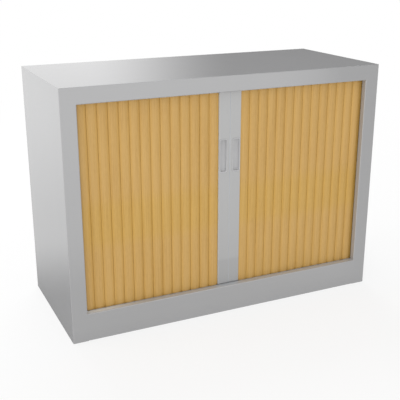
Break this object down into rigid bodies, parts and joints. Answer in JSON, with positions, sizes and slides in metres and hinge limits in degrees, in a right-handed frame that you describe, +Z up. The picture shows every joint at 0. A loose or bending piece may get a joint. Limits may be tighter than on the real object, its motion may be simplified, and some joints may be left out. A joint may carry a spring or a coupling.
{
  "type": "tambour door cabinet",
  "caption": "Low steel cupboard with side-opening tambour shutters of hooked slats, leading bars with finger pulls, corner tracks, linings, a shelf and levelling feet.",
  "frame": {"origin": "on the floor, under the middle of the cupboard's footprint", "axes": "+Z up, -Y out of the front face, +X to the right seen from the front"},
  "size_m": [1, 0.43, 0.727],
  "materials": {
    "casing_steel": "satin silver-grey paint on folded sheet steel",
    "inner_steel": "satin grey powder coat on folded sheet steel",
    "slat_plastic": "beech-coloured moulded plastic with a fine upright grain",
    "bar_metal": "satin grey coat on an extruded bar",
    "pull_plastic": "satin grey moulded plastic",
    "glide_nylon": "grey nylon",
    "track_plastic": "light grey extruded plastic",
    "clip_zinc": "zinc-plated pressed steel",
    "foot_plastic": "black plastic pad and stem"
  },
  "bodies": {
    "cabinet": {"top_panel": "casing_steel", "ceiling_panel": "casing_steel", "floor_panel": "casing_steel", "plinth": "casing_steel", "back_panel": "casing_steel", "shelf": "inner_steel", "left_side_panel": "casing_steel", "left_lining": "inner_steel", "left_upper_track": "track_plastic", "left_lower_track": "track_plastic", "left_front_shelf_clip": "clip_zinc", "left_back_shelf_clip": "clip_zinc", "right_side_panel": "casing_steel", "right_lining": "inner_steel", "right_upper_track": "track_plastic", "right_lower_track": "track_plastic", "right_front_shelf_clip": "clip_zinc", "right_back_shelf_clip": "clip_zinc"},
    "left_shutter_lead": {"left_leading_bar": "bar_metal", "left_finger_pull": "pull_plastic", "left_upper_glide": "glide_nylon", "left_lower_glide": "glide_nylon"},
    "left_slat_01": {"left_slat_01": "slat_plastic"},
    "left_slat_02": {"left_slat_02": "slat_plastic"},
    "left_slat_03": {"left_slat_03": "slat_plastic"},
    "left_slat_04": {"left_slat_04": "slat_plastic"},
    "left_slat_05": {"left_slat_05": "slat_plastic"},
    "left_slat_06": {"left_slat_06": "slat_plastic"},
    "left_slat_07": {"left_slat_07": "slat_plastic"},
    "left_slat_08": {"left_slat_08": "slat_plastic"},
    "left_slat_09": {"left_slat_09": "slat_plastic"},
    "left_slat_10": {"left_slat_10": "slat_plastic"},
    "left_slat_11": {"left_slat_11": "slat_plastic"},
    "left_slat_12": {"left_slat_12": "slat_plastic"},
    "left_slat_13": {"left_slat_13": "slat_plastic"},
    "left_slat_14": {"left_slat_14": "slat_plastic"},
    "right_shutter_lead": {"right_leading_bar": "bar_metal", "right_finger_pull": "pull_plastic", "right_upper_glide": "glide_nylon", "right_lower_glide": "glide_nylon"},
    "right_slat_01": {"right_slat_01": "slat_plastic"},
    "right_slat_02": {"right_slat_02": "slat_plastic"},
    "right_slat_03": {"right_slat_03": "slat_plastic"},
    "right_slat_04": {"right_slat_04": "slat_plastic"},
    "right_slat_05": {"right_slat_05": "slat_plastic"},
    "right_slat_06": {"right_slat_06": "slat_plastic"},
    "right_slat_07": {"right_slat_07": "slat_plastic"},
    "right_slat_08": {"right_slat_08": "slat_plastic"},
    "right_slat_09": {"right_slat_09": "slat_plastic"},
    "right_slat_10": {"right_slat_10": "slat_plastic"},
    "right_slat_11": {"right_slat_11": "slat_plastic"},
    "right_slat_12": {"right_slat_12": "slat_plastic"},
    "right_slat_13": {"right_slat_13": "slat_plastic"},
    "right_slat_14": {"right_slat_14": "slat_plastic"},
    "front_left_foot": {"front_left_foot": "foot_plastic"},
    "front_right_foot": {"front_right_foot": "foot_plastic"},
    "back_left_foot": {"back_left_foot": "foot_plastic"},
    "back_right_foot": {"back_right_foot": "foot_plastic"}
  },
  "joints": [
    {"name": "left_shutter_slide", "type": "slide", "parent": "cabinet", "child": "left_shutter_lead", "axis": [-1, 0, 0], "range_m": [0, 0.415], "deforming": ["left_slat_01", "left_slat_02", "left_slat_03", "left_slat_04", "left_slat_05", "left_slat_06", "left_slat_07", "left_slat_08", "left_slat_09", "left_slat_10", "left_slat_11", "left_slat_12", "left_slat_13", "left_slat_14"]},
    {"name": "left_slat_01_slide", "type": "slide", "parent": "cabinet", "child": "left_slat_01", "axis": [-1, 0, 0], "range_m": [0, 0.41501]},
    {"name": "left_slat_02_slide", "type": "slide", "parent": "cabinet", "child": "left_slat_02", "axis": [-1, 0, 0], "range_m": [0, 0.38601]},
    {"name": "left_slat_03_slide", "type": "slide", "parent": "cabinet", "child": "left_slat_03", "axis": [-1, 0, 0], "range_m": [0, 0.35701]},
    {"name": "left_slat_04_slide", "type": "slide", "parent": "cabinet", "child": "left_slat_04", "axis": [-1, 0, 0], "range_m": [0, 0.32801]},
    {"name": "left_slat_05_slide", "type": "slide", "parent": "cabinet", "child": "left_slat_05", "axis": [-1, 0, 0], "range_m": [0, 0.29901]},
    {"name": "left_slat_06_slide", "type": "slide", "parent": "cabinet", "child": "left_slat_06", "axis": [-1, 0, 0], "range_m": [0, 0.27001]},
    {"name": "left_slat_07_slide", "type": "slide", "parent": "cabinet", "child": "left_slat_07", "axis": [-1, 0, 0], "range_m": [0, 0.24101]},
    {"name": "left_slat_08_slide", "type": "slide", "parent": "cabinet", "child": "left_slat_08", "axis": [-1, 0, 0], "range_m": [0, 0.21201]},
    {"name": "left_slat_09_slide", "type": "slide", "parent": "cabinet", "child": "left_slat_09", "axis": [-1, 0, 0], "range_m": [0, 0.18301]},
    {"name": "left_slat_10_slide", "type": "slide", "parent": "cabinet", "child": "left_slat_10", "axis": [-1, 0, 0], "range_m": [0, 0.15401]},
    {"name": "left_slat_11_slide", "type": "slide", "parent": "cabinet", "child": "left_slat_11", "axis": [-1, 0, 0], "range_m": [0, 0.12501]},
    {"name": "left_slat_12_slide", "type": "slide", "parent": "cabinet", "child": "left_slat_12", "axis": [-1, 0, 0], "range_m": [0, 0.09601]},
    {"name": "left_slat_13_slide", "type": "slide", "parent": "cabinet", "child": "left_slat_13", "axis": [-1, 0, 0], "range_m": [0, 0.06701]},
    {"name": "left_slat_14_slide", "type": "slide", "parent": "cabinet", "child": "left_slat_14", "axis": [-1, 0, 0], "range_m": [0, 0.03801]},
    {"name": "right_shutter_slide", "type": "slide", "parent": "cabinet", "child": "right_shutter_lead", "axis": [1, 0, 0], "range_m": [0, 0.415], "deforming": ["right_slat_01", "right_slat_02", "right_slat_03", "right_slat_04", "right_slat_05", "right_slat_06", "right_slat_07", "right_slat_08", "right_slat_09", "right_slat_10", "right_slat_11", "right_slat_12", "right_slat_13", "right_slat_14"]},
    {"name": "right_slat_01_slide", "type": "slide", "parent": "cabinet", "child": "right_slat_01", "axis": [1, 0, 0], "range_m": [0, 0.41501]},
    {"name": "right_slat_02_slide", "type": "slide", "parent": "cabinet", "child": "right_slat_02", "axis": [1, 0, 0], "range_m": [0, 0.38601]},
    {"name": "right_slat_03_slide", "type": "slide", "parent": "cabinet", "child": "right_slat_03", "axis": [1, 0, 0], "range_m": [0, 0.35701]},
    {"name": "right_slat_04_slide", "type": "slide", "parent": "cabinet", "child": "right_slat_04", "axis": [1, 0, 0], "range_m": [0, 0.32801]},
    {"name": "right_slat_05_slide", "type": "slide", "parent": "cabinet", "child": "right_slat_05", "axis": [1, 0, 0], "range_m": [0, 0.29901]},
    {"name": "right_slat_06_slide", "type": "slide", "parent": "cabinet", "child": "right_slat_06", "axis": [1, 0, 0], "range_m": [0, 0.27001]},
    {"name": "right_slat_07_slide", "type": "slide", "parent": "cabinet", "child": "right_slat_07", "axis": [1, 0, 0], "range_m": [0, 0.24101]},
    {"name": "right_slat_08_slide", "type": "slide", "parent": "cabinet", "child": "right_slat_08", "axis": [1, 0, 0], "range_m": [0, 0.21201]},
    {"name": "right_slat_09_slide", "type": "slide", "parent": "cabinet", "child": "right_slat_09", "axis": [1, 0, 0], "range_m": [0, 0.18301]},
    {"name": "right_slat_10_slide", "type": "slide", "parent": "cabinet", "child": "right_slat_10", "axis": [1, 0, 0], "range_m": [0, 0.15401]},
    {"name": "right_slat_11_slide", "type": "slide", "parent": "cabinet", "child": "right_slat_11", "axis": [1, 0, 0], "range_m": [0, 0.12501]},
    {"name": "right_slat_12_slide", "type": "slide", "parent": "cabinet", "child": "right_slat_12", "axis": [1, 0, 0], "range_m": [0, 0.09601]},
    {"name": "right_slat_13_slide", "type": "slide", "parent": "cabinet", "child": "right_slat_13", "axis": [1, 0, 0], "range_m": [0, 0.06701]},
    {"name": "right_slat_14_slide", "type": "slide", "parent": "cabinet", "child": "right_slat_14", "axis": [1, 0, 0], "range_m": [0, 0.03801]},
    {"name": "front_left_foot_height", "type": "slide", "parent": "cabinet", "child": "front_left_foot", "axis": [0, 0, -1], "range_m": [0, 0.012]},
    {"name": "front_right_foot_height", "type": "slide", "parent": "cabinet", "child": "front_right_foot", "axis": [0, 0, -1], "range_m": [0, 0.012]},
    {"name": "back_left_foot_height", "type": "slide", "parent": "cabinet", "child": "back_left_foot", "axis": [0, 0, -1], "range_m": [0, 0.012]},
    {"name": "back_right_foot_height", "type": "slide", "parent": "cabinet", "child": "back_right_foot", "axis": [0, 0, -1], "range_m": [0, 0.012]}
  ],
  "couplings": [
    {"joint": "left_slat_01_slide", "follows": "left_shutter_slide", "ratio": 1},
    {"joint": "left_slat_02_slide", "follows": "left_shutter_slide", "ratio": 0.93012},
    {"joint": "left_slat_03_slide", "follows": "left_shutter_slide", "ratio": 0.86024},
    {"joint": "left_slat_04_slide", "follows": "left_shutter_slide", "ratio": 0.79036},
    {"joint": "left_slat_05_slide", "follows": "left_shutter_slide", "ratio": 0.72048},
    {"joint": "left_slat_06_slide", "follows": "left_shutter_slide", "ratio": 0.6506},
    {"joint": "left_slat_07_slide", "follows": "left_shutter_slide", "ratio": 0.58072},
    {"joint": "left_slat_08_slide", "follows": "left_shutter_slide", "ratio": 0.51084},
    {"joint": "left_slat_09_slide", "follows": "left_shutter_slide", "ratio": 0.44096},
    {"joint": "left_slat_10_slide", "follows": "left_shutter_slide", "ratio": 0.37108},
    {"joint": "left_slat_11_slide", "follows": "left_shutter_slide", "ratio": 0.30121},
    {"joint": "left_slat_12_slide", "follows": "left_shutter_slide", "ratio": 0.23133},
    {"joint": "left_slat_13_slide", "follows": "left_shutter_slide", "ratio": 0.16145},
    {"joint": "left_slat_14_slide", "follows": "left_shutter_slide", "ratio": 0.091566},
    {"joint": "right_slat_01_slide", "follows": "right_shutter_slide", "ratio": 1},
    {"joint": "right_slat_02_slide", "follows": "right_shutter_slide", "ratio": 0.93012},
    {"joint": "right_slat_03_slide", "follows": "right_shutter_slide", "ratio": 0.86024},
    {"joint": "right_slat_04_slide", "follows": "right_shutter_slide", "ratio": 0.79036},
    {"joint": "right_slat_05_slide", "follows": "right_shutter_slide", "ratio": 0.72048},
    {"joint": "right_slat_06_slide", "follows": "right_shutter_slide", "ratio": 0.6506},
    {"joint": "right_slat_07_slide", "follows": "right_shutter_slide", "ratio": 0.58072},
    {"joint": "right_slat_08_slide", "follows": "right_shutter_slide", "ratio": 0.51084},
    {"joint": "right_slat_09_slide", "follows": "right_shutter_slide", "ratio": 0.44096},
    {"joint": "right_slat_10_slide", "follows": "right_shutter_slide", "ratio": 0.37108},
    {"joint": "right_slat_11_slide", "follows": "right_shutter_slide", "ratio": 0.30121},
    {"joint": "right_slat_12_slide", "follows": "right_shutter_slide", "ratio": 0.23133},
    {"joint": "right_slat_13_slide", "follows": "right_shutter_slide", "ratio": 0.16145},
    {"joint": "right_slat_14_slide", "follows": "right_shutter_slide", "ratio": 0.091566}
  ]
}
